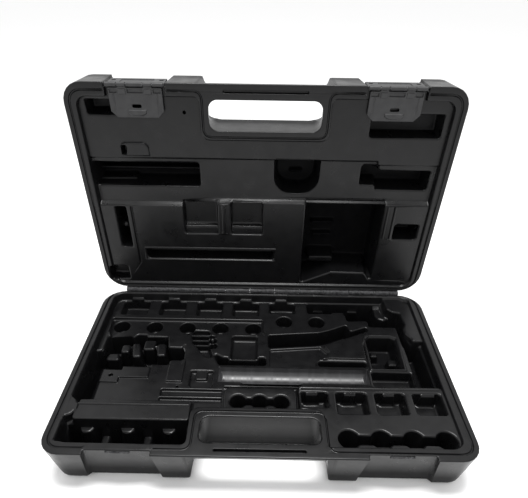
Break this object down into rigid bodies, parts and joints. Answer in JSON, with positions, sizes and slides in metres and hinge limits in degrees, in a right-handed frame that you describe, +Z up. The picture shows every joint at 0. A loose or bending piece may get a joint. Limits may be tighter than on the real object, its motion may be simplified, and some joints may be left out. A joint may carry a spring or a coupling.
{
  "type": "flaring tool case",
  "caption": "Empty black plastic carrying case for a tube flaring kit, standing open, with a pocketed tray and lid liner, a hand grip and hinged snap latches.",
  "frame": {"origin": "middle of the base's flat underside", "axes": "+X to the right along the hinge, +Y to the back, towards the hinge, +Z up"},
  "size_m": [0.4, 0.2965, 0.2965],
  "materials": {
    "case_plastic": "black blow-moulded polyethylene, fine leather-like texture outside",
    "tray_plastic": "black blow-moulded polyethylene, satin, with soft glossy edges",
    "latch_plastic": "black moulded plastic, satin",
    "steel_wire": "bright steel wire"
  },
  "bodies": {
    "base": {"base_shell": "case_plastic", "base_tray": "tray_plastic", "hinge_rod_left": "steel_wire", "hinge_rod_right": "steel_wire"},
    "lid": {"lid_shell": "case_plastic", "lid_liner": "tray_plastic", "latch_bracket_left": "latch_plastic", "latch_bracket_right": "latch_plastic", "latch_pin_left": "steel_wire", "latch_pin_right": "steel_wire"},
    "latch_left": {"latch_plate_left": "latch_plastic"},
    "latch_right": {"latch_plate_right": "latch_plastic"}
  },
  "joints": [
    {"name": "lid_hinge", "type": "hinge", "parent": "base", "child": "lid", "pos_m": [0, 0.125, 0.05], "axis": [1, 0, 0], "range_deg": [0, 90]},
    {"name": "latch_left_hinge", "type": "hinge", "parent": "lid", "child": "latch_left", "pos_m": [-0.128, 0.1278, 0.294], "axis": [-1, 0, 0], "range_deg": [0, 180]},
    {"name": "latch_right_hinge", "type": "hinge", "parent": "lid", "child": "latch_right", "pos_m": [0.128, 0.1278, 0.294], "axis": [-1, 0, 0], "range_deg": [0, 180]}
  ]
}
